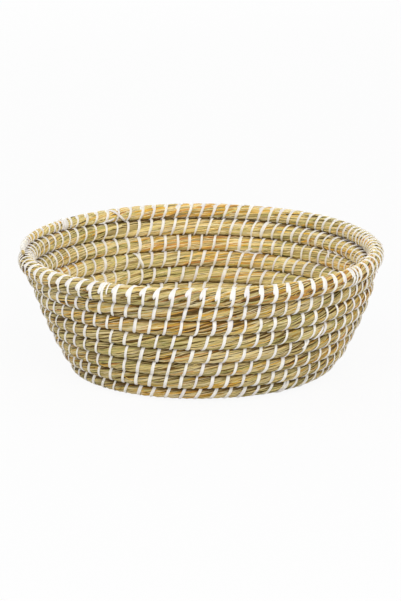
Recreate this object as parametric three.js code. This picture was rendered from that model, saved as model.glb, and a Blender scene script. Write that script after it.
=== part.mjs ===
// A round, coiled straw storage basket, lashed with white plastic strip.
// Millimetres, +Z up, origin on the floor under the middle of the base.
//
// One thick bundle of straw winds out from the middle of the base, turns up at the heel and
// climbs to the rim. Flat binding strips, tied on one after another, wrap the bundle in a
// slanting stitch and pass through the seams between its rows.

import * as THREE from "three";

// Binding strip
const STRIP_WIDTH = 2.6;
const STRIP_THICKNESS = 0.4;
const STRIP_CLEARANCE = 0.2;
const LEAN_SHARE = 0.35; // of the spacing: how far a stitch moves along the row while it crosses it
const STITCH_SPACING = 14.5; // along a row of the wall
const BASE_STITCH_SPACING = 24; // along a row of the base
const BINDING_STRIPS = 25; // tied on one after another; each makes the same number of stitches

// Straw bundle and the rows that it makes
const ROW_PITCH = 15.75;
const CENTRE_HOLE_RADIUS = 2.45;
const BASE_ROWS = 7;
const WALL_ROWS = 7;
const RIM_BUNDLE_DIAMETER = 17.4; // where the rim starts; it thins as the rows below it rise
const TAIL_DIAMETER = 3.5; // the bundle's thin end, on top of the rim

// Side profile that the middles of the rows follow
const DOME_HEIGHT = 3; // the middle of the base stands up this far
const DOME_RADIUS = 82;
const HEEL_START = 2.9; // the heel starts this far outside the first place of the last base row
const HEEL_BEND_RADIUS = 20.6;
const HEEL_ANGLE = THREE.MathUtils.degToRad(59.4);
const WALL_BEND_RADIUS = 331;
const WALL_TOP_ANGLE = THREE.MathUtils.degToRad(74.4);
const RIM_FLARE = 3.6; // the rim stands out this far past the line of the wall
const RIM_FLARE_LENGTH = 14; // of wall, up to the middle of the rim, in which it moves out

// Where each turn steps out or up to the next row
const COIL_START_ANGLE = THREE.MathUtils.degToRad(220);
const STEP_SPAN = THREE.MathUtils.degToRad(120);
const STEADY_SHARE = 0.37; // of the pitch, gained evenly all round; the rest is gained in the step
const RIM_SWELL_SPAN = THREE.MathUtils.degToRad(45);

// How finely the round shapes are divided
const STEPS_PER_TURN = 24;
const BUNDLE_SIDES = 6;
const FIRST_STITCHED_STEP = 1.5 * STEPS_PER_TURN; // the tight middle turn has no room for strips

const STRIP_DEPTH = STRIP_CLEARANCE + STRIP_THICKNESS; // from the bundle to a strip's flat face
const SEAM_GAP = 2 * STRIP_THICKNESS + 3 * STRIP_CLEARANCE;
const BUNDLE_RADIUS = (ROW_PITCH - SEAM_GAP) / 2;
const FLAT_SHARE = Math.cos(Math.PI / BUNDLE_SIDES); // a flat side's distance, for a radius of 1
const FLOOR_TO_CENTRE = BUNDLE_RADIUS * FLAT_SHARE + STRIP_DEPTH;
const CORNER_RADIUS = FLOOR_TO_CENTRE / FLAT_SHARE; // out to a strip's bend at a bundle corner
const FIRST_ROW_RADIUS = BUNDLE_RADIUS + CENTRE_HOLE_RADIUS;
const FLAT_BASE_RADIUS = FIRST_ROW_RADIUS + (BASE_ROWS - 1) * ROW_PITCH + HEEL_START;
const STEP_ANGLE = (2 * Math.PI) / STEPS_PER_TURN;
const WALL_START_STEP = BASE_ROWS * STEPS_PER_TURN;
const RIM_START_STEP = (BASE_ROWS + WALL_ROWS) * STEPS_PER_TURN;
const LAST_STEP = RIM_START_STEP + STEPS_PER_TURN;
const TOP_ROW_LENGTH = FIRST_ROW_RADIUS + (BASE_ROWS + WALL_ROWS - 1) * ROW_PITCH;
const RIM_LENGTH = TOP_ROW_LENGTH + BUNDLE_RADIUS + SEAM_GAP + RIM_BUNDLE_DIAMETER / 2;

const STRAW = { color: 0xa08a4c, roughness: 0.8, metalness: 0 };
const WHITE_STRIP = { color: 0xf2f0ee, roughness: 0.35, metalness: 0 };

// The side profile: radius, height and slope at a length measured out from the middle. At the
// start of the heel it rises as the bundle tips onto the corner of its section.
function profile(length) {
  if (length < FLAT_BASE_RADIUS) {
    const inDome = Math.min(length / DOME_RADIUS, 1) * Math.PI;
    return {
      r: length,
      z: FLOOR_TO_CENTRE + (DOME_HEIGHT * (1 + Math.cos(inDome))) / 2,
      slope: Math.atan((-DOME_HEIGHT * Math.PI * Math.sin(inDome)) / (2 * DOME_RADIUS)),
    };
  }
  const heelLength = HEEL_BEND_RADIUS * HEEL_ANGLE;
  const wallLength = WALL_BEND_RADIUS * (WALL_TOP_ANGLE - HEEL_ANGLE);
  const past = length - FLAT_BASE_RADIUS;
  const heel = Math.min(past / HEEL_BEND_RADIUS, HEEL_ANGLE);
  const inWall = THREE.MathUtils.clamp(past - heelLength, 0, wallLength);
  const slope = heel + inWall / WALL_BEND_RADIUS;
  const straight = Math.max(past - heelLength - wallLength, 0);
  const flare = THREE.MathUtils.smoothstep(length, RIM_LENGTH - RIM_FLARE_LENGTH, RIM_LENGTH);
  const wallOut = WALL_BEND_RADIUS * (Math.sin(slope) - Math.sin(heel));
  const wallUp = WALL_BEND_RADIUS * (Math.cos(heel) - Math.cos(slope));
  const heelOut = HEEL_BEND_RADIUS * Math.sin(heel);
  const ontoCorner = CORNER_RADIUS * (Math.cos(Math.PI / BUNDLE_SIDES - heel) - FLAT_SHARE);
  const heelUp = Math.max(HEEL_BEND_RADIUS * (1 - Math.cos(heel)), ontoCorner);
  return {
    r: FLAT_BASE_RADIUS + heelOut + wallOut + straight * Math.cos(slope) + RIM_FLARE * flare,
    z: FLOOR_TO_CENTRE + heelUp + wallUp + straight * Math.sin(slope),
    slope,
  };
}

// How many pitches the bundle has gained after a number of steps.
function rowsGained(step) {
  const turns = step / STEPS_PER_TURN;
  const whole = Math.floor(turns);
  const stepStart = 1 - STEP_SPAN / (2 * Math.PI);
  const inStep = THREE.MathUtils.smoothstep(turns - whole, stepStart, 1);
  return whole + (1 - STEADY_SHARE) * inStep + STEADY_SHARE * (turns - whole);
}

// The length along the profile at which the bundle's row would lie at a step.
function rowLength(step) {
  return FIRST_ROW_RADIUS + ROW_PITCH * rowsGained(step);
}

// The bundle swells at the start of the rim, and then thins so that the rim's top stays level
// while the row below it rises.
function bundleRadius(step) {
  if (step < RIM_START_STEP) return BUNDLE_RADIUS;
  const risen = rowLength(step - STEPS_PER_TURN) - TOP_ROW_LENGTH;
  const level = Math.max(RIM_BUNDLE_DIAMETER - risen, TAIL_DIAMETER) / 2;
  const angle = (step - RIM_START_STEP) * STEP_ANGLE;
  const swell = THREE.MathUtils.smoothstep(angle, 0, RIM_SWELL_SPAN);
  return THREE.MathUtils.lerp(BUNDLE_RADIUS, level, swell);
}

// The bundle at a step: its middle, its radius, the way up the wall (along) and the way out of it.
function bundleAt(step) {
  const radius = bundleRadius(step);
  const stacked = rowLength(step - STEPS_PER_TURN) + BUNDLE_RADIUS + SEAM_GAP + radius;
  const { r, z, slope } = profile(step < RIM_START_STEP ? rowLength(step) : stacked);
  const middle = new THREE.Vector2(r, z);
  const along = new THREE.Vector2(Math.cos(slope), Math.sin(slope));
  const out = new THREE.Vector2(Math.sin(slope), -Math.cos(slope));
  return { middle, radius, along, out };
}

// A point of the meridian plane at a step, set at its angle round the basket.
function inSpace(point, step) {
  const angle = COIL_START_ANGLE + step * STEP_ANGLE;
  return new THREE.Vector3(point.x * Math.cos(angle), point.x * Math.sin(angle), point.y);
}

const bundles = [];
for (let step = 0; step <= LAST_STEP; step++) bundles.push(bundleAt(step));

const middles = bundles.map((bundle, step) => inSpace(bundle.middle, step));

// The bundle's six corners at a step, the first one towards the row above or outside.
function bundleRing(step) {
  const { middle, radius, along, out } = bundles[step];
  return Array.from({ length: BUNDLE_SIDES }, (_, side) => {
    const turn = (2 * Math.PI * side) / BUNDLE_SIDES;
    const point = middle
      .clone()
      .addScaledVector(along, radius * Math.cos(turn))
      .addScaledVector(out, radius * Math.sin(turn));
    return inSpace(point, step);
  });
}

// A closed tube through rings that all have the same number of points. A twisted side is split
// along its deeper diagonal, so that the tube never bulges past the straight lines across it.
function tubeThrough(rings) {
  const sides = rings[0].length;
  const points = rings.flat();
  const corners = [];
  const centres = rings.map((ring) =>
    ring.reduce((sum, point) => sum.add(point), new THREE.Vector3()).divideScalar(sides),
  );
  for (let ring = 0; ring + 1 < rings.length; ring++) {
    const centre = centres[ring].clone().lerp(centres[ring + 1], 0.5);
    const depth = (a, b) => points[a].clone().lerp(points[b], 0.5).distanceTo(centre);
    for (let side = 0; side < sides; side++) {
      const here = ring * sides + side;
      const beside = ring * sides + ((side + 1) % sides);
      const [hereNext, besideNext] = [here + sides, beside + sides];
      if (depth(here, besideNext) < depth(beside, hereNext)) {
        corners.push(here, beside, besideNext, here, besideNext, hereNext);
      } else {
        corners.push(here, beside, hereNext, beside, besideNext, hereNext);
      }
    }
  }
  const last = (rings.length - 1) * sides;
  for (let side = 1; side + 1 < sides; side++) {
    corners.push(0, side + 1, side);
    corners.push(last, last + side, last + side + 1);
  }
  const geometry = new THREE.BufferGeometry().setFromPoints(points);
  geometry.setIndex(corners);
  geometry.computeVertexNormals();
  return geometry;
}

// The middle of the next bundle along the profile, or where it would be past the coil's ends.
function neighbour(step, side) {
  const { middle, radius, along } = bundles[step];
  const other = bundles[step + side * STEPS_PER_TURN];
  if (other) return other;
  return { middle: middle.clone().addScaledVector(along, side * (2 * radius + SEAM_GAP)), radius };
}

// Where a strip turns from a face of the bundle (face 1 outside, -1 inside) into the seam
// (side 1 above, -1 below), with its surface a given depth off the bundle.
function seamCorner(step, face, side, depth) {
  const { middle, radius, out } = bundles[step];
  const next = neighbour(step, side);
  const toNext = next.middle.clone().sub(middle);
  const distance = toNext.length();
  toNext.normalize();
  const share = (radius + SEAM_GAP / 2) / (radius + next.radius + SEAM_GAP);
  const offMiddle = distance * share - SEAM_GAP / 2 + depth;
  const across = new THREE.Vector2(toNext.y, -toNext.x).multiplyScalar(side);
  const target = face * (radius * FLAT_SHARE + depth);
  const reach = (target - offMiddle * toNext.dot(out)) / across.dot(out);
  return middle.clone().addScaledVector(toNext, offMiddle).addScaledVector(across, reach);
}

// An outside corner at the seam above or below, kept off the floor.
function outsideCorner(step, side, depth) {
  const corner = seamCorner(step, 1, side, depth);
  const inSeam = seamCorner(step, -1, side, depth);
  const lowest = STRIP_DEPTH - depth;
  const share = Math.max(lowest - corner.y, 0) / (inSeam.y - corner.y);
  return corner.lerp(inSeam, share);
}

// Where a strip lies on a corner of the bundle, counted in sixths of a turn from its top.
function bundleCorner(step, corner, depth) {
  const { middle, radius, along, out } = bundles[step];
  const turn = (2 * Math.PI * corner) / BUNDLE_SIDES;
  const reach = radius + depth / FLAT_SHARE;
  return middle
    .clone()
    .addScaledVector(along, reach * Math.cos(turn))
    .addScaledVector(out, reach * Math.sin(turn));
}

// A corner's place between two steps, on the straight line that the faceted bundle follows.
function between(cornerAt, place) {
  const step = Math.min(Math.floor(place), LAST_STEP - 1);
  const low = inSpace(cornerAt(step), step);
  const high = inSpace(cornerAt(step + 1), step + 1);
  return low.lerp(high, place - step);
}

// Lengths along the bundle's middle line, and the place, in steps, at a length.
const lengths = [0];
for (let step = 0; step < LAST_STEP; step++) {
  lengths.push(lengths[step] + middles[step].distanceTo(middles[step + 1]));
}

function stepLength(place) {
  const step = Math.min(Math.floor(place), LAST_STEP - 1);
  return lengths[step + 1] - lengths[step];
}

function spacingAt(place) {
  return place < WALL_START_STEP ? BASE_STITCH_SPACING : STITCH_SPACING;
}

// A stitch keeps clear of the bundle's bends, which its straight stretch would cut.
function clearOfBends(place) {
  const reach = (LEAN_SHARE * spacingAt(place) + STRIP_WIDTH) / 2 + STRIP_CLEARANCE;
  const share = reach / stepLength(place);
  const step = Math.floor(place);
  return share < 0.5 ? step + THREE.MathUtils.clamp(place - step, share, 1 - share) : place;
}

// The places, in steps, of all stitches from the base to the rim's end.
function stitchPlaces() {
  const places = [];
  const tailRoom = 1.5; // steps at the thin tail that stay free
  let place = FIRST_STITCHED_STEP;
  while (place < LAST_STEP - tailRoom) {
    places.push(clearOfBends(place));
    place += spacingAt(place) / stepLength(place);
  }
  return places;
}

// The three points of a strip's section: its flat face lies outside, its ridge on the bundle.
function stripRing(cornerAt, place) {
  const half = STRIP_WIDTH / 2 / stepLength(place);
  const outer = (step) => cornerAt(step, STRIP_DEPTH);
  const inner = (step) => cornerAt(step, STRIP_CLEARANCE);
  return [between(inner, place), between(outer, place - half), between(outer, place + half)];
}

// The strip's extra rings where the bundle bends while the strip passes through a seam.
function bendRings(fromCorner, toCorner, from, to) {
  const rings = [];
  for (let bend = Math.ceil(from); bend < to && from < WALL_START_STEP; bend++) {
    const share = (bend - from) / (to - from);
    const partWay = (step, depth) => fromCorner(step, depth).lerp(toCorner(step, depth), share);
    rings.push(stripRing(partWay, bend));
  }
  return rings;
}

// Half the way, in steps, that a stitch leans over.
function leanAt(place) {
  return (LEAN_SHARE * spacingAt(place)) / 2 / stepLength(place);
}

const footCorner = (step, depth) => outsideCorner(step, -1, depth);
const topCorner = (step, depth) => outsideCorner(step, 1, depth);
const insideTopCorner = (step, depth) => seamCorner(step, -1, 1, depth);
const insideCorner = (step, depth) => seamCorner(step, -1, -1, depth);
const bundleCorners = (corner) => (step, depth) => bundleCorner(step, corner, depth);

// The strip's way over the bundle, through the seam above or round the top of the rim.
function topRings(from, to, onRim) {
  if (!onRim) {
    const bends = bendRings(topCorner, insideTopCorner, from, to);
    return [stripRing(topCorner, from), ...bends, stripRing(insideTopCorner, to)];
  }
  return [
    stripRing(bundleCorners(1), from),
    stripRing(bundleCorners(0), (from + to) / 2),
    stripRing(bundleCorners(-1), to),
  ];
}

// One stitch: from the seam below up the outer face, over the bundle and down the inner face.
// Where the strip is kept off the floor it bends round the bundle's lower corner.
function stitchRings(place, nextPlace) {
  const lean = leanAt(place);
  const inside = (place + nextPlace) / 2;
  const freeFoot = (step) => seamCorner(step, 1, -1, STRIP_DEPTH);
  const keptUp = between(freeFoot, place - lean).z < -STRIP_CLEARANCE / 2;
  return [
    stripRing(footCorner, place - lean),
    ...(keptUp ? [stripRing(bundleCorners(2), place - lean / 2)] : []),
    ...topRings(place + lean, inside - lean, place >= RIM_START_STEP),
    stripRing(insideCorner, inside + lean),
  ];
}

function material({ color, roughness, metalness }) {
  return new THREE.MeshStandardMaterial({ color, roughness, metalness });
}

function named(name, geometry, finish) {
  const mesh = new THREE.Mesh(geometry, material(finish));
  mesh.name = name;
  return mesh;
}

function coilMesh() {
  const rings = bundles.map((_, step) => bundleRing(step));
  return named("straw_coil", tubeThrough(rings), STRAW);
}

function stripMeshes() {
  const places = stitchPlaces();
  const strips = [];
  const stitches = places.length - 1;
  for (let strip = 0; strip < BINDING_STRIPS; strip++) {
    const first = Math.round((strip * stitches) / BINDING_STRIPS);
    const last = Math.round(((strip + 1) * stitches) / BINDING_STRIPS);
    const rings = stitchRings(places[first], places[first + 1]);
    for (let stitch = first + 1; stitch < last; stitch++) {
      const [before, place, after] = places.slice(stitch - 1, stitch + 2);
      const from = (before + place) / 2 + leanAt(before);
      rings.push(...bendRings(insideCorner, footCorner, from, place - leanAt(place)));
      rings.push(...stitchRings(place, after));
    }
    const name = "binding_strip_" + String(strip + 1).padStart(2, "0");
    strips.push(named(name, tubeThrough(rings), WHITE_STRIP));
  }
  return strips;
}

// The least gap between one turn of the bundle and the next, on points of its corner lines.
function leastGap() {
  let least = Infinity;
  const samples = 4;
  const corner = (side) => (step) => {
    const { middle, radius, along } = bundles[step];
    return middle.clone().addScaledVector(along, side * radius);
  };
  for (let step = 0; step + STEPS_PER_TURN < LAST_STEP; step++) {
    for (let sample = 0; sample < samples; sample++) {
      const place = step + sample / samples;
      const lower = between(corner(1), place);
      for (let shift = -2; shift <= 2; shift++) {
        const over = Math.min(place + STEPS_PER_TURN + shift / samples, LAST_STEP);
        least = Math.min(least, lower.distanceTo(between(corner(-1), over)));
      }
    }
  }
  return least;
}

const basket = new THREE.Group();
basket.add(coilMesh(), ...stripMeshes());

console.log("least gap of the straw coil to itself: " + leastGap().toFixed(2) + " mm");

export default basket;
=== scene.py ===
"""A round straw storage basket: one coiled bundle of straw, lashed with white plastic strip.

Run as a script, it loads the basket's frame, makes each piece with its own operator and sets the
stage. All lengths are in metres.
"""

import math

import bpy
import numpy as np
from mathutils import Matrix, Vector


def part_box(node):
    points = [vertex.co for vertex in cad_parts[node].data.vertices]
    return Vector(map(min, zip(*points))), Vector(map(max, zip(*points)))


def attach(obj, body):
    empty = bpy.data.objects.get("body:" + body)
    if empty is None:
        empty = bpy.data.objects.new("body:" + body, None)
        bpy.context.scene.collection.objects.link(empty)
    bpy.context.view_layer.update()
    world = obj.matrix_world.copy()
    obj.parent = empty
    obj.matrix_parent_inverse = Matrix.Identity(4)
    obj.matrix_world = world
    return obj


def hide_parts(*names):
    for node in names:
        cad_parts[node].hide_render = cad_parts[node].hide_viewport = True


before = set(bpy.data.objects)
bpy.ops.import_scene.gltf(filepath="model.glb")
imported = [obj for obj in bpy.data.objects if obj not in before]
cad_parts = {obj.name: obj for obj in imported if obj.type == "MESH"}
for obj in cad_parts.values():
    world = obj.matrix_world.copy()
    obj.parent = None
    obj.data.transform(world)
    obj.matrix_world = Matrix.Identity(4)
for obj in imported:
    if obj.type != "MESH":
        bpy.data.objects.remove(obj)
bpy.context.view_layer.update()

bl_info = {
    "name": "Coiled Straw Basket",
    "version": (1, 0, 0),
    "blender": (4, 5, 0),
    "location": "View3D > Sidebar > Basket",
    "description": "Makes a coiled straw storage basket and its lashing strips",
    "category": "Add Mesh",
}

FULL_TURN = 2 * math.pi
MM = 0.001


def plain(name, description, default, **settings):
    """A plain number, or one with the unit that the settings give it."""
    return bpy.props.FloatProperty(name=name, description=description, default=default, **settings)


def length(name, description, default):
    """A length in metres."""
    return plain(name, description, default, unit="LENGTH", precision=5)


def angle(name, description, degrees):
    """An angle, with its default given in degrees."""
    return plain(name, description, math.radians(degrees), subtype="ANGLE")


def count(name, description, default):
    """A whole number of pieces."""
    return bpy.props.IntProperty(name=name, description=description, default=default, min=1)


def colour(name, description, *screen):
    """A colour, with its default given as a screen colour from 0 to 255.

    As linear light it is ((c + 0.055) / 1.055) to the power 2.4, or c / 12.92 where c is small.
    """
    light = tuple(
        c / 12.92 if c <= 0.04045 else ((c + 0.055) / 1.055) ** 2.4
        for c in (level / 255 for level in screen)
    )
    return bpy.props.FloatVectorProperty(
        name=name, description=description, default=light, subtype="COLOR", size=3
    )


class BasketSizes(bpy.types.PropertyGroup):
    """The basket's form: its rows, its side profile and its steps from row to row."""

    row_pitch: length("Row pitch", "From one row of the coil to the next", 0.01575)
    seam_gap: length("Seam gap", "Room for the strips between two rows", 0.0014)
    centre_hole_radius: length("Centre hole", "Radius inside the first turn", 0.00245)
    base_rows: count("Base rows", "Turns of the flat base", 7)
    wall_rows: count("Wall rows", "Turns of the wall, up to the rim", 7)
    rim_diameter: length("Rim thickness", "Bundle thickness where the rim starts", 0.016)
    tail_diameter: length("Tail thickness", "The bundle's thin end on the rim", 0.0048)
    tail_end: plain("Tail end", "Part of the rim's turn where the bundle ends", 0.915)
    floor_to_middle: length("Height of the base row", "From the floor to its middle", 0.006814)
    dome_height: length("Dome height", "How far the middle of the base stands up", 0.003)
    dome_radius: length("Dome radius", "Where the dome meets the flat of the base", 0.082)
    heel_start: length("Heel start", "Past the first place of the last base row", 0.0029)
    heel_bend_radius: length("Heel bend", "Bend radius where the base turns up", 0.0206)
    heel_angle: angle("Heel angle", "Slope of the wall above the heel", 59.4)
    wall_bend_radius: length("Wall bend", "Bend radius of the wall's side profile", 0.331)
    wall_top_angle: angle("Wall top angle", "Slope of the wall under the rim", 74.4)
    rim_flare: length("Rim flare", "How far the rim stands out past the wall's line", 0.0036)
    rim_flare_length: length("Rim flare length", "Stretch of wall in which it moves out", 0.014)
    coil_start: angle("Coil start", "Direction of the coil's first end", 220)
    step_span: angle("Step span", "Part of each turn in which it steps to the next row", 120)
    steady_share: plain("Steady share", "Part of the pitch that is gained evenly all round", 0.37)
    rim_swell: angle("Rim swell", "In which the bundle thickens where the rim starts", 45)
    sway: length("Sway", "How far the middle of the wall stands to the right", 0.003)


class StrawLook(bpy.types.PropertyGroup):
    """The straws of the bundle and their colours."""

    width: length("Straw width", "Mean width of one straw", 0.00092)
    thickness: length("Straw thickness", "Mean thickness of a flattened straw", 0.0005)
    twist: angle("Twist", "How far the straws slant from the way of the bundle", 13)
    cover: plain("Cover", "How many layers of straw lie over each other", 1.9)
    pillow: length("Pillow", "How far the bundle swells between two stitches", 0.00034)
    olive: colour("Olive", "Green-grey straws", 201, 193, 120)
    tan: colour("Tan", "The commonest straws", 240, 218, 146)
    beige: colour("Beige", "Pale straws", 252, 238, 192)
    golden: colour("Golden", "Yellow straws", 243, 196, 78)
    rust: colour("Rust", "Orange-brown straws", 218, 158, 90)
    # Umber is both the colour of the darkest straws and the brown of all the painted shade.
    umber: colour("Umber", "Dark straws and the inside of the bundle", 92, 68, 22)


class StripLook(bpy.types.PropertyGroup):
    """The white lashing strips."""

    width: length("Strip width", "Width of the lashing strip", 0.003)
    thickness: length("Strip thickness", "Thickness of the folded strip", 0.001)
    base_spacing: length("Base spacing", "Between stitches on the base", 0.0135)
    centre_stitches: plain("Centre stitches", "Least number in a turn of the base", 12)
    low_stitches: plain("Low stitches", "In one turn of the lower wall rows", 58.6)
    rim_stitches: plain("Rim stitches", "In the turn of the rim", 80)
    back_right: plain("Back right", "How much closer the stitches lie at the back right", 0.15)
    lean_curl: plain("Lean curl", "How much more a stitch leans at its foot than at its top", 0.45)
    rim_tilt: plain("Rim tilt", "How much more rim stitches lean outside than inside", -0.35)
    top_row_tilt: plain("Top row tilt", "The same for the row under the rim, in front", 0.3)
    back_tilt: plain("Back tilt", "The same for the row under the rim, at the back", -0.5)
    short_reach: length("Short reach", "How far a short rim stitch lies beside the long one", 0.0035)
    white: colour("White", "Colour of the strip", 246, 243, 236)


class StageLook(bpy.types.PropertyGroup):
    """Camera and light."""

    camera_distance: length("Camera distance", "From the camera to its aim point", 4.0106)
    camera_height: angle("Camera height", "Angle of the view above the level", 14.78)
    aim_height: length("Aim height", "Height of the aim point", 0.0618)
    pixels_per_metre: plain("Scale", "Pixels for each metre at the aim point", 1048.5)
    sky_strength: plain("Sky strength", "Even light from all round", 0.12)
    key_strength: plain("Key strength", "Power of the large lamp in front", 31.3)
    top_strength: plain("Top strength", "Power of the lamp overhead", 9)
    floor: colour("Floor", "Colour of the floor", 232, 232, 232)


# How many stitches the short, the middle and the long straws pass under.
STRAW_LENGTHS = (4, 6, 9)

# Ends and crossings of the strip, as the photo shows them: the turn, whose nearest stitch they
# follow, the angle around of both ends in degrees, how far along the bundle both ends lie from that
# stitch, how far they bow and how high they stand off, in millimetres, and their share of its width.
SPLICES = (
    (11.7050, -22, -152, 6.5, -7, 0, 0.7, 0.95),
    (14.7208, -15, -150, 14, -11, 0, 0.7, 0.85),
    (14.7208, -112, -152, 4, 20, 0, 0.3, 0.8),
    (12.5940, -146, -154, 15, -15, 0, 0.9, 0.8),
    (12.5850, -154, -120, 4, -3, 1.5, 0.8, 0.7),
    (13.4750, -138, -156, 5, -6, 0, 0.6, 0.8),
    (14.2919, -25, 160, 4, 3, 0, 0.2, 0.9),
    (11.2600, 50, 158, -3, -6, -4, 0.9, 0.8),
    (10.2520, 12, 75, 2, -3, 2, 0.8, 0.8),
    (7.2411, -5, 160, 2.8, 2.2, 0, 0.2, 1.0),
    (12.1637, -5, 150, 2.6, 0, 0, 0.2, 0.9),
    (14.0560, -10, 75, 5, 5, 0, 0.2, 0.5),
    (14.7840, -150, 60, 3, 3, 0, 0.3, 1.7),
    (12.4860, -16, -82, 7, -4, -2, 0.6, 0.8),
)

# Where the stitches lie close on the rim: the part of its turn, the reach and how many more stitches
# a turn would have there.
CROWDED = (
    (0.885, 0.028, 200),
    (-0.105, 0.02, 59),
    (0.785, 0.014, 110),
    (0.425, 0.032, 42),
)

# Warm and greenish places of the straw: the turn, the reach and the strength of each.
WARM_PLACES = (
    (14.21, 0.1, 0.8),
    (13.18, 0.07, 0.7),
    (14.63, 0.07, 0.7),
    (12.0, 0.035, 1),
    (12.16, 0.05, 0.6),
    (12.62, 0.05, 0.5),
    (11.6, 0.05, 0.4),
    (9.25, 0.06, 0.5),
)
GREEN_PLACES = (
    (14.02, 0.07, 0.7),
    (11.1, 0.12, 0.7),
    (10.0, 0.1, 0.5),
    (13.75, 0.07, 0.5),
    (10.65, 0.1, 0.6),
)

GROUPS = {
    "basket_sizes": BasketSizes,
    "straw_look": StrawLook,
    "strip_look": StripLook,
    "stage_look": StageLook,
}

# The picture's size, and the pixel that the camera aims at.
IMAGE_SIZE = (401, 601)
AIM_PIXEL = (200.0, 304.8)


def smooth(value, low, high):
    """0 below low, 1 above high, and 3x^2 - 2x^3 of the way between."""
    x = np.clip((value - low) / (high - low), 0, 1)
    return x * x * (3 - 2 * x)


def blend(start, end, amount):
    """The value that lies an amount of the way from start to end."""
    return start + (end - start) * amount


def wander(value, wavelength, seed):
    """A slow, repeatable wandering between about -1 and 1: five sines of nearby wavelengths."""
    rng = np.random.default_rng(seed)
    total = 0
    for _ in range(5):
        wave = wavelength * rng.uniform(0.6, 1.7)
        total = total + np.sin(FULL_TURN * (value / wave + rng.random()))
    return total / 2.6


def bump(value, middle, reach):
    """A bell of height 1: e to the power of minus the squared distance over the reach squared."""
    return np.exp(-(((value - middle) / reach) ** 2))


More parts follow.
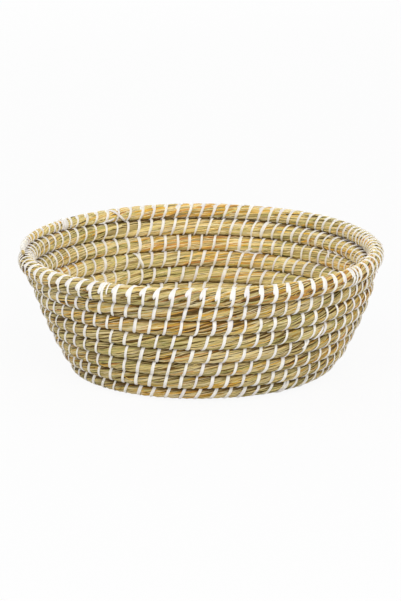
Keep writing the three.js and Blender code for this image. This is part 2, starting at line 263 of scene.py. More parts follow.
class Coil:
    """The path, the section and the stitches of the straw bundle, from the sizes in the scene.

    A place is given by a turn and an angle around the bundle. The turn is 0 in the middle of the
    base and grows by 1 each time round. The angle around the bundle is 0 towards the row above, a
    quarter turn outside, and minus a quarter turn inside.
    """

    # The coil's first end, where it has its full thickness, and the number of points on its path.
    START_TURN = -0.55
    THICK_FROM = 0.3
    PATH_POINTS = 6000
    # How far each row presses into the next, and the room for the strips under the base.
    TOUCH = 0.12 * MM
    FLOOR_ROOM = 1.38 * MM
    # Where around the rim its slit lies.
    PARTING = math.radians(81)

    def __init__(self, scene):
        self.sizes = sizes = scene.basket_sizes
        self.straw = scene.straw_look
        self.strip = scene.strip_look
        self.bundle_radius = (sizes.row_pitch - sizes.seam_gap) / 2
        self.first_row = self.bundle_radius + sizes.centre_hole_radius
        self.flat_radius = self.first_row + (sizes.base_rows - 1) * sizes.row_pitch + sizes.heel_start
        self.rim_turn = sizes.base_rows + sizes.wall_rows
        self.end_turn = self.rim_turn + sizes.tail_end
        self.top_row = self.first_row + (self.rim_turn - 1) * sizes.row_pitch
        self.turns = np.linspace(self.START_TURN, self.end_turn, self.PATH_POINTS)
        radius, height, _ = self.middle(self.turns)
        way = FULL_TURN * radius * np.gradient(self.turns)
        self.lengths = np.cumsum(np.hypot(way, np.gradient(height)))
        self.stitches = self.stitch_turns()

    def turn_length(self, turn):
        """How long a whole turn would be with the radius that the coil has here."""
        return FULL_TURN * self.middle(turn)[0]

    def rows_gained(self, turn):
        """How many pitches the coil has gained: a steady share, and the rest in the step."""
        whole = np.floor(turn)
        part = turn - whole
        steady = self.sizes.steady_share
        in_step = smooth(part, 1 - self.sizes.step_span / FULL_TURN, 1)
        return whole + (1 - steady) * in_step + steady * part

    def row_length(self, turn):
        """The length along the side profile at which the row lies."""
        return self.first_row + self.sizes.row_pitch * self.rows_gained(turn)

    def profile(self, reach):
        """Radius, height and slope at a length along the side profile: dome, flat, heel and wall."""
        sizes = self.sizes
        heel_bend, wall_bend = sizes.heel_bend_radius, sizes.wall_bend_radius
        in_dome = np.clip(reach / sizes.dome_radius, 0, 1) * math.pi
        past = np.maximum(reach - self.flat_radius, 0)
        heel = np.minimum(past / heel_bend, sizes.heel_angle)
        heel_length = heel_bend * sizes.heel_angle
        wall_length = wall_bend * (sizes.wall_top_angle - sizes.heel_angle)
        slope = heel + np.clip(past - heel_length, 0, wall_length) / wall_bend
        straight = np.maximum(past - heel_length - wall_length, 0)
        rim_length = self.top_row + self.bundle_radius + sizes.seam_gap + sizes.rim_diameter / 2
        flare = smooth(reach, rim_length - sizes.rim_flare_length, rim_length)
        wall_out = wall_bend * (np.sin(slope) - np.sin(heel))
        wall_up = wall_bend * (np.cos(heel) - np.cos(slope))
        radius = np.minimum(reach, self.flat_radius) + heel_bend * np.sin(heel)
        radius = radius + wall_out + straight * np.cos(slope) + sizes.rim_flare * flare
        dome = sizes.dome_height * (1 + np.cos(in_dome)) / 2
        height = sizes.floor_to_middle + dome + heel_bend * (1 - np.cos(heel))
        height = height + wall_up + straight * np.sin(slope)
        down = -sizes.dome_height * math.pi * np.sin(in_dome) / (2 * sizes.dome_radius)
        return radius, height, slope + np.arctan(down)

    def radius(self, turn):
        """The bundle's radius: thin at its start, even, fat where the rim starts, thin at its tail."""
        sizes = self.sizes
        risen = self.row_length(turn - 1) - self.top_row
        level = np.maximum(sizes.rim_diameter - risen, sizes.tail_diameter) / 2
        swell = smooth((turn - self.rim_turn) * FULL_TURN, 0, sizes.rim_swell)
        nose = smooth(turn, self.START_TURN - 0.25, self.THICK_FROM)
        tail = smooth(turn, self.end_turn + 0.01, self.end_turn - 0.05)
        return blend(self.bundle_radius, level, swell) * blend(0.25, 1, nose) * blend(0.2, 1, tail)

    def middle(self, turn):
        """Radius, height and slope of the bundle's middle line.

        The rim lies on the row below it, and the thin first end lies inside the row after it.
        """
        radius = self.radius(turn)
        below = self.row_length(turn - 1) + self.bundle_radius + self.sizes.seam_gap + radius
        above = self.row_length(turn + 1) - self.bundle_radius - self.sizes.seam_gap - radius
        even = self.row_length(turn)
        reach = np.where(turn < self.rim_turn, even, below)
        innermost = 0.4 * MM
        nose = blend(np.maximum(above, innermost), even, smooth(turn, -0.2, self.THICK_FROM))
        return self.profile(np.where(turn < self.THICK_FROM, nose, reach))

    def way_at(self, turn):
        """The length along the coil at a turn."""
        return np.interp(turn, self.turns, self.lengths)

    def stitches_per_turn(self, turn):
        """How many stitches a turn would have if they went on as they are here."""
        sizes, strip = self.sizes, self.strip
        low, rim = strip.low_stitches, strip.rim_stitches
        heel_stitches = low - 6
        rows = sizes.base_rows + np.array([-0.4, 0.5, 3.5, 4.5, 5.5, 6.5, 7.5])
        wall = np.interp(turn, rows, [heel_stitches, low, low, low + 7.4, low + 11.4, rim - 2, rim])
        base = np.maximum(self.turn_length(turn) / strip.base_spacing, strip.centre_stitches)
        at_back_right = bump(turn - np.floor(turn), 0.52, 0.13)
        upper = smooth(turn, self.rim_turn - 4.2, self.rim_turn - 3.8)
        wall = wall * (1 + strip.back_right * at_back_right * upper)
        crowded = sum(more * bump(turn, self.rim_turn + part, reach) for part, reach, more in CROWDED)
        return np.where(turn < rows[0], np.minimum(base, heel_stitches), wall) + crowded

    def stitch_turns(self):
        """The turn of each stitch's foot, one spacing after the last, a little uneven by hand."""
        turns = [self.START_TURN]
        while turns[-1] < self.end_turn:
            turns.append(turns[-1] + 1 / float(self.stitches_per_turn(np.array(turns[-1]))))
        turns = np.array(turns)
        by_hand = np.random.default_rng(4).normal(0, 0.05, len(turns)).clip(-0.11, 0.11)
        return turns + by_hand * np.gradient(turns)

    def stitch_number(self, turn):
        """The stitch number, with its fraction, at a turn."""
        return np.interp(turn, self.stitches, np.arange(len(self.stitches)))

    def lean(self, passed, turn):
        """The share of a spacing that a strip has moved on when it has gone some way round.

        With p the part of its way round, it is p + (curl sin(2 pi p) + tilt (1 - cos(2 pi p))) / 2 pi:
        slower over the top of the bundle, and with a tilt more outside and less inside.
        """
        front, back, on_rim = self.strip.top_row_tilt, self.strip.back_tilt, self.strip.rim_tilt
        turns = [-1.6, -1.5, -1.25, -1.1, -1.0, -0.7, -0.6, -0.2, -0.1, -0.04, 0.04]
        tilts = [0, back * 0.3, back * 0.3, 0, front, front, back, back, front, front, on_rim]
        tilt = np.interp(turn - self.rim_turn, turns, tilts)
        curled = self.strip.lean_curl * np.sin(FULL_TURN * passed)
        return passed + (curled + tilt * (1 - np.cos(FULL_TURN * passed))) / FULL_TURN

    def number_at(self, turn, around):
        """The stitch number whose strip passes a place: whole on a strip, a half between two."""
        return self.stitch_number(turn) - self.lean((math.pi - around) / FULL_TURN, turn)

    def turn_of(self, number, around):
        """The turn of a stitch number at an angle around the bundle."""
        passed = (math.pi - around) / FULL_TURN
        return self.foot_turn(number + self.lean(passed, self.foot_turn(number)))

    def to_stitch(self, turn, around):
        """The distance to the nearest strip, along the bundle."""
        off = self.number_at(turn, around)
        spacing = self.turn_length(turn) / self.stitches_per_turn(turn)
        return np.abs(off - np.round(off)) * spacing

    def foot_turn(self, number):
        """The turn of a stitch's foot."""
        return np.interp(number, np.arange(len(self.stitches)), self.stitches)

    def relief(self, turn, around):
        """The skin's height: pressed in under the strips and swollen between them."""
        pressed_reach, pressed_depth, unevenness = 2.4 * MM, 2.1, 0.2 * MM
        pressed = bump(self.to_stitch(turn, around), 0, pressed_reach)
        uneven = unevenness * wander(turn * 40 + around * 0.35, wavelength=7, seed=8)
        return self.straw.pillow * (1 - pressed_depth * pressed) + uneven

    def parting(self, turn, around):
        """How far the slit along the outside of the rim is open, 0 to 1, and how far away it lies.

        The short stitches go in there. It is widest at each of them and closes between some.
        """
        on_rim = smooth(turn, self.rim_turn - 0.05, self.rim_turn + 0.08)
        on_rim = on_rim * (1 - smooth(turn, self.end_turn - 0.1, self.end_turn - 0.04))
        number = self.number_at(turn, around)
        closing = smooth(wander(turn, wavelength=0.03, seed=3), -0.7, 0.4)
        line = bump(np.mod(number - 0.02, 1), 0.5, 0.27) * closing
        hole = bump(np.mod(number - 0.2, 1), 0.5, 0.16)
        away = around - self.PARTING - 0.06 * wander(turn, wavelength=0.02, seed=5)
        return on_rim * np.maximum(line, hole), away

    def surface(self, turn, around, height):
        """Points on the bundle's oval section, moved out along its normal by a height.

        The oval is (a cos, b sin), a towards the row above and b outwards. On the base b is cut
        short below, where the basket stands on its strips. The wall sways between its foot and top.
        """
        level, raised = math.radians(2), math.radians(24)
        foot, top = (2 * MM, 16 * MM), (80 * MM, 100 * MM)
        middle_radius, middle_height, slope = self.middle(turn)
        radius = self.radius(turn)
        half_along = radius + self.sizes.seam_gap / 2 + self.TOUCH
        on_floor = 1 - smooth(slope, level, raised)
        standing = self.sizes.floor_to_middle - self.FLOOR_ROOM
        below = blend(radius, np.minimum(radius, standing), on_floor)
        half_out = np.where(np.sin(around) > 0, below, radius)
        along_part, out_part = np.cos(around) / half_along, np.sin(around) / half_out
        size = np.hypot(along_part, out_part)
        along = half_along * np.cos(around) + height * along_part / size
        out = half_out * np.sin(around) + height * out_part / size
        distance = middle_radius + along * np.cos(slope) + out * np.sin(slope)
        up = middle_height + along * np.sin(slope) - out * np.cos(slope)
        direction = self.sizes.coil_start + FULL_TURN * turn
        swaying = smooth(up, *foot) * (1 - smooth(up, *top))
        x = distance * np.cos(direction) + self.sizes.sway * swaying
        return np.stack([x, distance * np.sin(direction), np.maximum(up, 0)], axis=-1)


def tube_faces(tubes, rings, sides):
    """Quads of closed tubes whose points are counted ring by ring, with flat caps at both ends."""
    first = np.arange(tubes)[:, None, None] * rings * sides
    ring = np.arange(rings - 1)[None, :, None] * sides
    side = np.arange(sides)[None, None, :]
    here = first + ring + side
    beside = first + ring + (side + 1) % sides
    walls = np.stack([here, beside, beside + sides, here + sides], axis=-1).reshape(-1, 4)
    low = np.arange(sides // 2 - 1)
    cap = np.stack([low, low + 1, sides - 2 - low, sides - 1 - low], axis=-1)
    start_caps = (first + cap[None, :, ::-1]).reshape(-1, 4)
    end_caps = (first + (rings - 1) * sides + cap[None]).reshape(-1, 4)
    return np.concatenate([walls, start_caps, end_caps])


def outward(points, faces):
    """The faces, turned round if the sum of their signed volumes says that they point inwards."""
    a, b, c, d = (points[faces[:, corner]] for corner in range(4))
    volume = sum(np.einsum("ij,ij->i", a, np.cross(*side)).sum() for side in ((b, c), (c, d)))
    return faces if volume > 0 else faces[:, ::-1]


def add_object(name, data):
    """A new object in the scene, at the origin and unturned."""
    made = bpy.data.objects.new(name, data)
    bpy.context.scene.collection.objects.link(made)
    return made


def make_tubes(name, batches):
    """One mesh of closed tubes.

    Each batch holds points (tubes, rings, sides, 3), and for each ring or point the way along the
    tube, the tone and the painted shade. The map along_straw holds that way and the share of the way
    round.
    """
    points, faces, start = [], [], 0
    columns = {"way": [], "side": [], "tone": [], "painted_shade": []}
    for batch in batches:
        shape = batch["points"].shape[:3]
        points.append(batch["points"].reshape(-1, 3))
        faces.append(outward(points[-1], tube_faces(*shape)) + start)
        start += len(points[-1])
        side = np.arange(shape[2])[None, None, :] / shape[2]
        for key, values in columns.items():
            value = side if key == "side" else batch[key]
            value = value if value.ndim == 3 else value[..., None]
            values.append(np.broadcast_to(value, shape).ravel())
    points, faces = np.concatenate(points), np.concatenate(faces)
    columns = {key: np.concatenate(values) for key, values in columns.items()}
    mesh = bpy.data.meshes.new(name)
    mesh.vertices.add(len(points))
    mesh.vertices.foreach_set("co", points.astype(np.float32).ravel())
    mesh.loops.add(faces.size)
    mesh.loops.foreach_set("vertex_index", faces.astype(np.int32).ravel())
    mesh.polygons.add(len(faces))
    mesh.polygons.foreach_set("loop_start", np.arange(0, faces.size, 4, dtype=np.int32))
    mesh.update(calc_edges=True)
    mesh.polygons.foreach_set("use_smooth", np.ones(len(faces), bool))
    side = columns["side"][faces]
    wrapped = np.ptp(side, axis=1, keepdims=True) > 0.5
    side = side + (wrapped & (side < 0.5))
    place = np.stack([columns["way"][faces], side], axis=-1)
    uv = mesh.uv_layers.new(name="along_straw")
    uv.data.foreach_set("uv", place.astype(np.float32).ravel())
    for key in ("tone", "painted_shade"):
        attribute = mesh.attributes.new("straw_" + key, "FLOAT", "POINT")
        attribute.data.foreach_set("value", columns[key].astype(np.float32))
    return mesh


def make_piece(name, batches, material, nodes):
    """A piece of closed tubes with its material and its place in the frame."""
    piece = add_object(name, make_tubes(name, batches))
    piece.data.materials.append(material)
    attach(piece, "root")
    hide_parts(*nodes)


def make_straw_piece(name, batches, coil):
    """A piece of the straw bundle."""
    material = kept("dry_straw", straw_material, coil.straw)
    make_piece(name, batches, material, ["straw_coil"])


def patches(turn, around):
    """The slow change of straw colour along and around the bundle, between about -1 and 1.

    It wanders slowly, with a bell up in each warm place and a bell down in each green one.
    """
    broad = 0.6 * wander(turn * 10 + around * 0.25, wavelength=1.9, seed=21)
    small = 0.4 * wander(turn * 10 - around, wavelength=0.7, seed=22)
    warm = sum(height * bump(turn, middle, reach) for middle, reach, height in WARM_PLACES)
    green = sum(height * bump(turn, middle, reach) for middle, reach, height in GREEN_PLACES)
    return broad + small + warm - green


def straw_points(coil, turn, around, height, width, crest):
    """Sections of flattened straws that lie on the bundle: a low trapezoid, a crest high."""
    corners = [(-0.5, 0), (-0.24, 1), (0.24, 1), (0.5, 0)]
    angle_wide = width / coil.radius(turn)
    sides = [coil.surface(turn, around + x * angle_wide, height + y * crest) for x, y in corners]
    return np.stack(sides, axis=2)


def straw_paths(coil, first, last, stitches_long, per_stitch, seed, rng):
    """The turn, the angle around and the length along the coil of each ring of each straw.

    A straw has its rings at even steps of the stitch number, one of them under each strip. It lies
    at around(s) = start - s slant / radius, s its length so far. Neighbours slant alike, and the
    straws inside the bowl slant less.
    """
    look = coil.straw
    girth = FULL_TURN * coil.bundle_radius
    layers = look.cover / len(STRAW_LENGTHS)
    total = int(layers * girth * (last - first) / (look.width * stitches_long))
    rings = stitches_long * per_stitch + 1
    step = (np.arange(rings) - (rings - 1) / 2) / per_stitch
    number = np.round(rng.uniform(first, last, (total, 1)) * per_stitch) / per_stitch + step
    number[:, 0] += rng.uniform(0, 0.8, total) / per_stitch
    number[:, -1] -= rng.uniform(0, 0.8, total) / per_stitch
    start = rng.uniform(-math.pi, math.pi, (total, 1))
    shared = 0.3 * wander(number.mean(axis=1), wavelength=6, seed=31)
    slant = np.tan(look.twist * (rng.normal(1, 0.22, total) + shared))[:, None]
    slant = slant * (1 - 0.55 * smooth(-np.sin(start), 0, 0.7))
    curve = 0.05 * wander(step / 3 + rng.random((total, 1)) * 40, wavelength=1.5, seed=seed + 1)
    around = start + 0 * number
    for _ in range(2):
        turn = coil.turn_of(number, around)
        way = coil.way_at(turn)
        around = start + curve - (way - way.mean(axis=1, keepdims=True)) * slant / coil.radius(turn)
    return turn, around, way


def straw_batch(coil, first_turn, last_turn, stitches_long, per_stitch, seed):
    """Single straws of one length, slanting round the bundle and diving under the others at both ends.

    A straw's height is the skin's height and its own level, less a dive at its ends and a step down
    into the rim's slit. There it is also turned aside.
    """
    dive_length, dive_depth = 8 * MM, 1.1 * MM
    slit_reach, slit_depth, slit_turn = math.radians(12), 0.8 * MM, math.radians(7)
    look = coil.straw
    rng = np.random.default_rng(seed)
    first, last = coil.stitch_number(first_turn), coil.stitch_number(last_turn)
    turn, around, way = straw_paths(coil, first, last, stitches_long, per_stitch, seed, rng)
    column = (len(turn), 1)
    width = look.width * rng.lognormal(0, 0.34, column).clip(0.5, 2)
    level = rng.uniform(-0.7, 0.0, column) * look.thickness
    to_end = np.minimum(way - way[:, :1], way[:, -1:] - way)
    dive = 1 - smooth(to_end, 0, dive_length)
    opened, away = coil.parting(turn, around)
    slit = opened * bump(away, 0, slit_reach)
    around = around + slit_turn * slit * np.sign(away)
    height = coil.relief(turn, around) + level - dive_depth * dive - slit_depth * slit
    width = width * blend(1, 0.45, dive)
    crest = look.thickness * rng.uniform(0.75, 1.25, column)
    tone = 0.47 + 0.19 * patches(turn, around) + rng.normal(0, 0.19, column)
    # A random darkening for each straw, given more strongly outside the wall as painted shade.
    darker = rng.random(column) ** 3
    return {
        "points": straw_points(coil, turn, around, height, width, crest),
        "way": way + rng.random(column),
        "tone": tone.clip(0, 1),
        "painted_shade": straw_painted_shade(coil, turn, around, dive, slit, darker),
    }


def straw_painted_shade(coil, turn, around, dive, slit, darker):
    """The painted shade on a straw, 0 to 1, in umber brown: dark in the seams between rows, where it
    dives under the others and in the rim's slit, darker on the outside of the wall than inside, and
    random darker straws, more so outside.
    """
    row_above = 1 - smooth(turn, coil.end_turn - 1.02, coil.end_turn - 0.98)
    seam = np.abs(np.cos(around)) ** 11 * np.where(np.cos(around) > 0, row_above, 1)
    shade = 0.42 * darker * blend(0.45, 1, smooth(np.sin(around), -0.3, 0.3))
    outside = smooth(np.sin(around), -0.1, 0.9)
    # Painted shade: seams, dives and the slit darkened, and the outside of the wall darkened against
    # the inside.
    painted_shade = 2.6 * seam + 0.45 * dive + 0.6 * slit + shade + 0.23 * outside
    return painted_shade.clip(0, 1)


def core_batch(coil, first_turn, last_turn):
    """The bundle's core: its section, a little below the skin, along the coil, painted dark as the
    shade between the straws, darkest in the seams and outside the wall.
    """
    sides, ring_spacing = 28, 4.5 * MM
    below_skin, slit_depth, slit_reach = 0.7 * MM, 2.4 * MM, math.radians(14)
    first_way, last_way = coil.way_at(first_turn), coil.way_at(last_turn)
    ways = np.linspace(first_way, last_way, int((last_way - first_way) / ring_spacing))
    even = np.interp(ways, coil.lengths, coil.turns)
    turn = even[None, :, None]
    around = -np.arange(sides)[None, None, :] * FULL_TURN / sides
    opened, away = coil.parting(turn, around)
    height = coil.relief(turn, around) - below_skin - slit_depth * opened * bump(away, 0, slit_reach)
    # Painted shade on the core: half dark all over, fully dark in the seams and on the outside.
    core_shade = np.maximum(np.cos(around) ** 14, smooth(np.sin(around), -0.2, 0.5))
    return {
        "points": coil.surface(turn + 0 * around, around + 0 * turn, height),
        "way": coil.way_at(even)[None, :],
        "tone": 0.4 + 0 * height,
        "painted_shade": 0 * height + 0.5 + 0.5 * core_shade,
    }


def unit(vectors):
    """The vectors, each scaled to length 1."""
    return vectors / np.linalg.norm(vectors, axis=-1, keepdims=True)


def ribbon(coil, turn, around, height, width, roll=0.0):
    """Sections of a flat strip along paths on the bundle, all given as (strips, rings) arrays.

    The section is the superellipse (w/2 cos^0.6, t/2 sin^0.9), across the path and off the skin.
    """
    sides, probe = 8, 0.1 * MM
    middle = coil.surface(turn, around, height)
    off_skin = unit(coil.surface(turn, around, height + probe) - middle)
    ahead = np.gradient(middle, axis=1)
    across = unit(np.cross(ahead, off_skin))
    tilt = np.cos(roll)[..., None] * across + np.sin(roll)[..., None] * off_skin
    lift = unit(np.cross(tilt, ahead))
    way_round = np.arange(sides) * FULL_TURN / sides
    cos, sin = np.cos(way_round), np.sin(way_round)
    flat = np.sign(cos) * np.abs(cos) ** 0.6
    high = np.sign(sin) * np.abs(sin) ** 0.9
    x = (width / 2)[..., None, None] * flat[:, None] * tilt[..., None, :]
    y = coil.strip.thickness / 2 * high[:, None] * lift[..., None, :]
    steps = np.linalg.norm(np.diff(middle, axis=1), axis=-1)
    way = np.concatenate([np.zeros((len(middle), 1)), np.cumsum(steps, axis=1)], axis=1)
    return {"points": middle[:, :, None, :] + x + y, "way": way, "tone": 0 * way, "painted_shade": 0 * way}


def strip_height(coil, turn, around):
    """How high a strip's middle lies: on the straws that it presses down."""
    return coil.relief(turn, around) + 0.6 * coil.straw.thickness + coil.strip.thickness / 2


def lashing_batch(coil, first_turn, last_turn, seed):
    """One long strip that winds round the bundle once for each stitch and narrows in the seams.

    At stitch number n the strip is at around = pi - 2 pi n and at the turn of stitch lean(n). Each
    stitch has its own width and its own roll about its length.
    """
    per_stitch = 26
    first, last = (int(coil.stitch_number(turn)) for turn in (first_turn, last_turn))
    number = np.linspace(first, last, (last - first) * per_stitch + 1)[None, :]
    whole = np.floor(number)
    around = math.pi - FULL_TURN * (number - whole)
    turn = coil.foot_turn(whole + coil.lean(number - whole, coil.foot_turn(whole)))
    rng = np.random.default_rng(seed)
    stitch = whole[0].astype(int) - first
    wider, rolled = (rng.normal(0, 1, last - first + 1)[stitch][None, :] for _ in range(2))
    foot = bump(np.cos(around), -1, 0.32)
    inside = smooth(-np.sin(around), 0.2, 0.8)
    width = coil.strip.width * (1 + 0.11 * wider) * (1 - 0.45 * foot - 0.08 * inside)
    roll = 0.12 * rolled * np.sin(around)
    return ribbon(coil, turn, around, strip_height(coil, turn, around), width, roll)


def short_stitch_batch(coil, seed):
    """The rim's short stitches: over the top of the long ones, from the slit outside to the inside.

    They cross the long ones: outside they lie on one side of them and inside on the other. Both ends
    narrow and dive into the straw. Now and then one lies apart.
    """
    rings = 22
    dive_depth, pressed_in, apart_by = 2.2 * MM, 0.25 * MM, 2.4 * MM
    first = int(coil.stitch_number(coil.rim_turn - 0.075)) + 1
    last = int(coil.stitch_number(coil.end_turn - 0.08))
    stitch = np.arange(first, last)[:, None]
    column = stitch.shape
    rng = np.random.default_rng(seed)
    outer = coil.PARTING - math.radians(1) + math.radians(7) * rng.normal(0, 1, column)
    inner = math.radians(-62) + math.radians(8) * rng.normal(0, 1, column)
    around = blend(outer, inner, np.linspace(0, 1, rings)[None, :])
    outer_end = smooth(around, outer - 0.5, outer)
    before = (around / outer).clip(0, 1) ** 0.8 * rng.uniform(0.8, 1.1, column) - 0.12 * outer_end
    behind = (around / inner).clip(0, 1) ** 1.1 * rng.uniform(0.65, 1, column)
    apart = np.where(rng.random(column) < 0.12, apart_by, 0) * bump(around, 0, 0.55)
    turn = coil.turn_of(stitch, around)
    room = coil.strip.rim_stitches / coil.stitches_per_turn(turn)
    spread = coil.strip.short_reach * (before - behind) * room.clip(0, 1) ** 2 + apart
    turn = turn - spread / coil.turn_length(turn)
    dive = smooth(around, outer - 0.3, outer) + smooth(around, inner + 0.3, inner)
    height = strip_height(coil, turn, around) - dive_depth * dive - pressed_in
    narrow = 0.66 * outer_end + 0.5 * smooth(around, inner + 0.5, inner)
    return ribbon(coil, turn, around, height, coil.strip.width * 1.08 * (1 - narrow))


def splice_batch(coil):
    """The short ends and crossings of the strip in SPLICES. Their own ends narrow and go down."""
    rings, dive_depth = 18, 0.9 * MM
    part = np.linspace(0, 1, rings)[None, :]
    place, first, last, first_off, last_off, bow, lift, wide = np.array(SPLICES).T[:, :, None]
    arch = np.sin(math.pi * part)
    around = np.radians(blend(first, last, part))
    number = np.round(coil.number_at(place, np.radians((first + last) / 2)))
    turn = coil.turn_of(number, around)
    off = blend(first_off, last_off, part) + bow * arch
    turn = turn + off * MM / coil.turn_length(turn)
    ends = np.abs(2 * part - 1) ** 6
    height = strip_height(coil, turn, around) + lift * MM * arch - dive_depth * ends
    return ribbon(coil, turn, around, height, coil.strip.width * wide * (1 - 0.4 * ends))


def loose_straw_batch(coil, seed):
    """Broken straws whose free end has sprung off the skin: height = lift s^2, s from 0 to 1."""
    column, rings = (90, 1), 9
    outside, off_skin, crest = math.radians(85), 0.1 * MM, 0.35 * MM
    rng = np.random.default_rng(seed)
    part = np.linspace(0, 1, rings)[None, :]
    first = rng.uniform(coil.sizes.base_rows + 0.2, coil.end_turn - 0.3, column)
    side = np.where(rng.random(column) < 0.6, outside, -outside)
    reach = rng.uniform(9, 24, column) * MM * np.where(rng.random(column) < 0.5, 1, -1)
    turn = first + reach * part / coil.turn_length(first)
    around = side + rng.normal(0, 0.35, column) + rng.normal(0, 0.35, column) * part
    lift = rng.uniform(0.6, 2.6, column) * MM
    height = coil.relief(turn, around) + off_skin + lift * part**2
    width = coil.straw.width * rng.uniform(0.35, 0.8, column) * (1 - 0.5 * part)
    tone = rng.uniform(0.3, 0.95, column) + 0 * turn
    return {
        "points": straw_points(coil, turn, around, height, width, crest),
        "way": coil.way_at(turn) + rng.random(column),
        "tone": tone,
        "painted_shade": 0 * tone,
    }


class Graph:
    """A tree of nodes, added and joined in short calls. A value can also be another node's socket."""

    def __init__(self, tree):
        self.tree = tree

    def feed(self, node, inputs):
        """Sets or links a node's sockets, given by their names or numbers."""
        for key, value in inputs.items():
            if isinstance(value, bpy.types.NodeSocket):
                self.tree.links.new(value, node.inputs[key])
            else:
                node.inputs[key].default_value = value

    def add(self, kind, inputs=None, output=0, **settings):
        """An output of a new node with its settings and sockets set."""
        node = self.tree.nodes.new(kind)
        for key, value in settings.items():
            setattr(node, key, value)
        self.feed(node, inputs or {})
        return node.outputs[output]

    def ramp(self, value, stops):
        """A colour ramp over a value. Stops are (place, linear colour)."""
        colours = self.add("ShaderNodeValToRGB", {"Fac": value}, "Color")
        elements = colours.node.color_ramp.elements
        while len(elements) < len(stops):
            elements.new(0.5)
        for element, (place, tint) in zip(elements, stops):
            element.position = place
            element.color = (*tint, 1)
        return colours

    def mix(self, factor, first, second, kind="MIX"):
        """Two colours mixed by a factor. The colour sockets are 6 and 7, and their result is 2."""
        inputs = {0: factor, 6: first, 7: second}
        return self.add("ShaderNodeMix", inputs, 2, data_type="RGBA", blend_type=kind)

    def math(self, operation, first, second):
        """Two numbers joined by an operation."""
        return self.add("ShaderNodeMath", {0: first, 1: second}, operation=operation)

    def noise(self, place, scale, detail):
        """Noise from 0 to 1."""
        inputs = {"Vector": place, "Scale": scale, "Detail": detail}
        return self.add("ShaderNodeTexNoise", inputs, "Fac")

    def streaks(self, stretch, detail):
        """Noise in fine lines along a straw or strip: stretched on the along_straw map."""
        uv = self.add("ShaderNodeUVMap", output="UV", uv_map="along_straw")
        stretched = self.add("ShaderNodeMapping", {"Scale": stretch, "Vector": uv})
        return self.noise(stretched, 1.0, detail)

    def clouds(self, scale, detail):
        """Noise all over the basket."""
        place = self.add("ShaderNodeTexCoord", output="Object")
        return self.noise(place, scale, detail)

    def shade(self, colour, lines, shine, rough, rough_lines, bump_strength, bump_height):
        """Sets the surface shader: a colour, and fine lines that change its roughness and bump."""
        bumps = {"Strength": bump_strength, "Distance": bump_height, "Height": lines}
        inputs = {
            "Base Color": colour,
            "Specular IOR Level": shine,
            "Roughness": self.math("ADD", self.math("MULTIPLY", lines, rough_lines), rough),
            "Normal": self.add("ShaderNodeBump", bumps, "Normal"),
        }
        self.feed(self.tree.nodes["Principled BSDF"], inputs)

    def seen_directly(self):
        """A socket that is 1 for what the camera sees, straight, mirrored or through glass."""
        rays = self.add("ShaderNodeLightPath").node.outputs
        straight = self.math("MAXIMUM", rays["Is Camera Ray"], rays["Is Glossy Ray"])
        return self.math("MAXIMUM", straight, rays["Is Transmission Ray"])


def new_material(name):
    """A material and the graph of its nodes."""
    material = bpy.data.materials.new(name)
    material.use_nodes = True
    return material, Graph(material.node_tree)


def straw_material(look):
    """Dry straw: a tone for each straw, fine fibres along it, and painted shade: umber brown mixed in
    where the bundle would lie in shade, in the seams, at the straws' ends, in the rim's slit and
    outside the wall.
    """
    material, graph = new_material("dry_straw")
    tone, painted_shade = (
        graph.add("ShaderNodeAttribute", output="Fac", attribute_name=name)
        for name in ("straw_tone", "straw_painted_shade")
    )
    fibre = graph.streaks((34, 5, 1), 4.0)
    mottle = graph.clouds(70.0, 3.0)
    shift = graph.math("MULTIPLY", graph.math("SUBTRACT", mottle, 0.5), 0.28)
    tints = (look.umber, look.olive, look.tan, look.beige, look.golden, look.rust)
    palette = list(zip((0.0, 0.12, 0.38, 0.56, 0.74, 0.92), tints))
    streak = graph.ramp(fibre, [(0.3, (0.52, 0.45, 0.34)), (0.5, (1, 1, 1)), (0.7, (1.2, 1.18, 1.1))])
    base = graph.ramp(graph.math("ADD", tone, shift), palette)
    streaked = graph.mix(0.8, base, streak, "MULTIPLY")
    # Painted shade: the straw colour times umber, mixed in by the shade attribute up to 0.95.
    darker = graph.mix(1.0, streaked, (*look.umber, 1), "MULTIPLY")
    final = graph.mix(graph.math("MULTIPLY", painted_shade, 0.95), streaked, darker)
    graph.shade(
        final, fibre, shine=0.15, rough=0.38, rough_lines=0.3, bump_strength=0.35, bump_height=0.0002
    )
    return material


def strip_material(look):
    """White plastic strip: drawn lengthwise lines and faint lilac clouds of painted shade."""
    material, graph = new_material("white_plastic_strip")
    lines = graph.streaks((40, 9, 1), 3.0)
    white = tuple(look.white)
    # Painted shade: faint lilac clouds, standing in for the lilac tint of the strips in shade.
    lilac_shade = (white[0] * 0.89, white[1] * 0.87, white[2] * 0.93)
    tint = graph.ramp(graph.clouds(60.0, 2.0), [(0.3, lilac_shade), (0.5, white)])
    lined = graph.ramp(lines, [(0.3, (0.87, 0.86, 0.86)), (0.5, (1, 1, 1))])
    final = graph.mix(0.5, tint, lined, "MULTIPLY")
    graph.shade(
        final, lines, shine=0.35, rough=0.3, rough_lines=0.25, bump_strength=0.3, bump_height=0.00015
    )
    return material


def kept(name, make, look):
    """The material of that name, made on its first use."""
    return bpy.data.materials.get(name) or make(look)


def strip_nodes(low, high):
    """The frame's binding strips whose middle height lies between low and high."""
    strips = [name for name in sorted(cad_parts) if name.startswith("binding_strip")]
    return [name for name in strips if low <= sum(corner.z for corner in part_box(name)) / 2 < high]


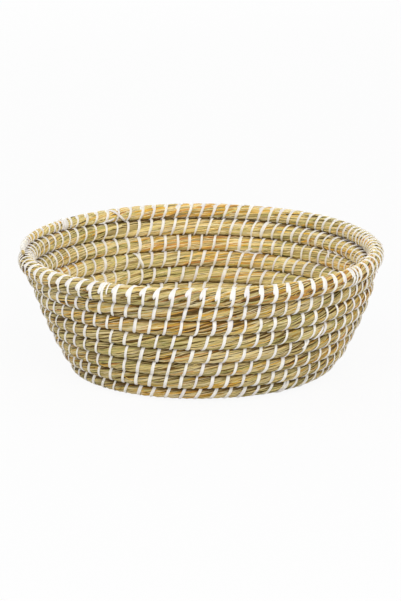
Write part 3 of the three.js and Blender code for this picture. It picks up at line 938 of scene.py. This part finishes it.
class BASKET_OT_straw_bundle(bpy.types.Operator):
    """Makes the coiled bundle from single straws over a core painted dark as shade, in lengths"""

    bl_idname = "basket.straw_bundle"
    bl_label = "Straw Bundle"

    def execute(self, context):
        coil = Coil(context.scene)
        rim = coil.rim_turn
        # The turn at which each length ends, and how many rings its straws have for each stitch.
        ends_and_rings = {
            "base_straw_1": (2.5, 5),
            "base_straw_2": (4.5, 2),
            "base_straw_3": (6, 2),
            "heel_straw": (8, 2),
            "wall_straw_1": (9.3, 2),
            "wall_straw_2": (10.6, 2),
            "wall_straw_3": (11.8, 2),
            "wall_straw_4": (12.9, 2),
            "wall_straw_5": (rim, 2),
            "rim_straw_1": (rim + 0.5, 4),
            "rim_straw_2": (coil.end_turn, 3),
        }
        first = coil.START_TURN
        for seed, (name, (last, per_stitch)) in enumerate(ends_and_rings.items()):
            batches = [core_batch(coil, first, last)]
            for stitches_long in STRAW_LENGTHS:
                own_seed = 1000 + 10 * seed + stitches_long
                batches.append(straw_batch(coil, first, last, stitches_long, per_stitch, own_seed))
            make_straw_piece(name, batches, coil)
            first = last
        return {"FINISHED"}


class BASKET_OT_loose_straws(bpy.types.Operator):
    """Makes the few broken straws that stand off the bundle"""

    bl_idname = "basket.loose_straws"
    bl_label = "Loose Straws"

    def execute(self, context):
        coil = Coil(context.scene)
        make_straw_piece("loose_straws", [loose_straw_batch(coil, seed=77)], coil)
        return {"FINISHED"}


class BASKET_OT_lashing(bpy.types.Operator):
    """Makes the white strips that lash each row to the one below"""

    bl_idname = "basket.lashing"
    bl_label = "Lashing Strips"

    def execute(self, context):
        coil = Coil(context.scene)
        material = kept("white_plastic_strip", strip_material, coil.strip)
        base_end, rim = coil.sizes.base_rows, coil.rim_turn
        wall_middle = base_end + coil.sizes.wall_rows // 2
        names = ("base_lashing", "lower_wall_lashing", "upper_wall_lashing", "rim_lashing")
        turns = (-0.2, base_end, wall_middle, rim, coil.end_turn - 0.006)
        parting_turns = np.array([base_end + coil.sizes.wall_rows / 2, rim - 0.75])
        heights = (0, 2 * coil.sizes.floor_to_middle, *coil.middle(parting_turns)[1], math.inf)
        for number, name in enumerate(names):
            batches = [lashing_batch(coil, turns[number], turns[number + 1], seed=200 + number)]
            if name == "rim_lashing":
                batches += [short_stitch_batch(coil, seed=210), splice_batch(coil)]
            nodes = strip_nodes(heights[number], heights[number + 1])
            make_piece(name, batches, material, nodes)
        return {"FINISHED"}


class BASKET_OT_stage(bpy.types.Operator):
    """Sets the floor, the light and the camera"""

    bl_idname = "basket.stage"
    bl_label = "Stage"

    def execute(self, context):
        look = context.scene.stage_look
        make_floor(look)
        make_sky(look)
        key = look.key_strength
        make_lamp("key_lamp", key, (0.3, -2.3, 1.75), 1.6)
        make_lamp("top_lamp", look.top_strength, (0.2, 0.1, 2.6), 2.2)
        make_lamp("front_left_lamp", key * 0.7, (-1.9, -2.0, 1.1), 1.5)
        make_lamp("front_right_lamp", key * 0.65, (1.9, -2.0, 1.1), 1.5)
        make_lamp("left_lamp", key * 0.65, (-2.3, 0.1, 1.8), 1.6)
        make_lamp("right_lamp", key * 0.5, (2.3, 0.1, 1.8), 1.6)
        make_lamp("back_lamp", key * 0.6, (-0.2, 2.5, 0.9), 1.6)
        make_camera(look)
        context.scene.view_settings.view_transform = "Standard"
        return {"FINISHED"}


def make_floor(look):
    """A wide, pale floor that keeps a soft shadow and shows white to the camera."""
    reach, shown_white = 9.0, 0.93
    mesh = bpy.data.meshes.new("floor")
    corners = [(-reach, -reach, 0), (reach, -reach, 0), (reach, reach, 0), (-reach, reach, 0)]
    mesh.from_pydata(corners, [], [(0, 1, 2, 3)])
    material, graph = new_material("pale_floor")
    nodes = graph.tree.nodes
    nodes.remove(nodes["Principled BSDF"])
    matt = graph.add("ShaderNodeBsdfDiffuse", {"Color": (*look.floor, 1)})
    white = graph.add("ShaderNodeEmission", {"Color": (1, 1, 1, 1)})
    lit = graph.math("MULTIPLY", graph.seen_directly(), shown_white)
    mixed = graph.add("ShaderNodeMixShader", {"Fac": lit, 1: matt, 2: white})
    graph.feed(nodes["Material Output"], {"Surface": mixed})
    mesh.materials.append(material)
    add_object("floor", mesh)


def make_sky(look):
    """Even, neutral light from all round, and white where the camera sees it."""
    world = bpy.data.worlds.new("studio_sky")
    world.use_nodes = True
    graph = Graph(world.node_tree)
    inputs = {"Value": graph.seen_directly(), "To Min": look.sky_strength, "To Max": 1}
    strength = graph.add("ShaderNodeMapRange", inputs, "Result")
    graph.feed(graph.tree.nodes["Background"], {"Color": (1, 1, 1, 1), "Strength": strength})
    bpy.context.scene.world = world


def make_lamp(name, power, place, size):
    """A large square lamp that faces the basket."""
    lamp = bpy.data.lights.new(name, "AREA")
    lamp.energy = power
    lamp.size = size
    holder = add_object(name, lamp)
    toward = -np.array(place) / np.linalg.norm(place)
    holder.location = place
    holder.rotation_euler = (math.acos(-toward[2]), 0, math.atan2(toward[0], -toward[1]) + math.pi)


def make_camera(look):
    """A long lens at the photograph's height and distance, shifted to the photograph's framing."""
    camera = bpy.data.cameras.new("camera")
    long_side = max(IMAGE_SIZE)
    camera.sensor_width = 36
    camera.lens = look.pixels_per_metre * look.camera_distance * camera.sensor_width / long_side
    camera.shift_x = (IMAGE_SIZE[0] / 2 - AIM_PIXEL[0]) / long_side
    camera.shift_y = (AIM_PIXEL[1] - IMAGE_SIZE[1] / 2) / long_side
    camera.clip_end = 100
    holder = add_object("camera", camera)
    height = look.camera_height
    back = look.camera_distance * math.cos(height)
    holder.location = (0, -back, look.aim_height + look.camera_distance * math.sin(height))
    holder.rotation_euler = (math.pi / 2 - height, 0, 0)
    bpy.context.scene.camera = holder


class BASKET_PT_panel(bpy.types.Panel):
    """The basket's sizes, looks and pieces"""

    bl_label = "Coiled Straw Basket"
    bl_idname = "BASKET_PT_panel"
    bl_space_type = "VIEW_3D"
    bl_region_type = "UI"
    bl_category = "Basket"

    def draw(self, context):
        for name, group in GROUPS.items():
            box = self.layout.box()
            box.label(text=group.__doc__.split(":")[0])
            for key in group.__annotations__:
                box.prop(getattr(context.scene, name), key)
        for operator in OPERATORS:
            self.layout.operator(operator.bl_idname)


OPERATORS = (BASKET_OT_straw_bundle, BASKET_OT_loose_straws, BASKET_OT_lashing, BASKET_OT_stage)
CLASSES = (*GROUPS.values(), *OPERATORS, BASKET_PT_panel)


def register():
    for each in CLASSES:
        bpy.utils.register_class(each)
    for name, group in GROUPS.items():
        setattr(bpy.types.Scene, name, bpy.props.PointerProperty(type=group))


def unregister():
    for name in GROUPS:
        delattr(bpy.types.Scene, name)
    for each in reversed(CLASSES):
        bpy.utils.unregister_class(each)


def main():
    """Makes the pieces and the stage."""
    register()
    bpy.ops.basket.straw_bundle()
    bpy.ops.basket.loose_straws()
    bpy.ops.basket.lashing()
    bpy.ops.basket.stage()


if __name__ == "__main__":
    main()
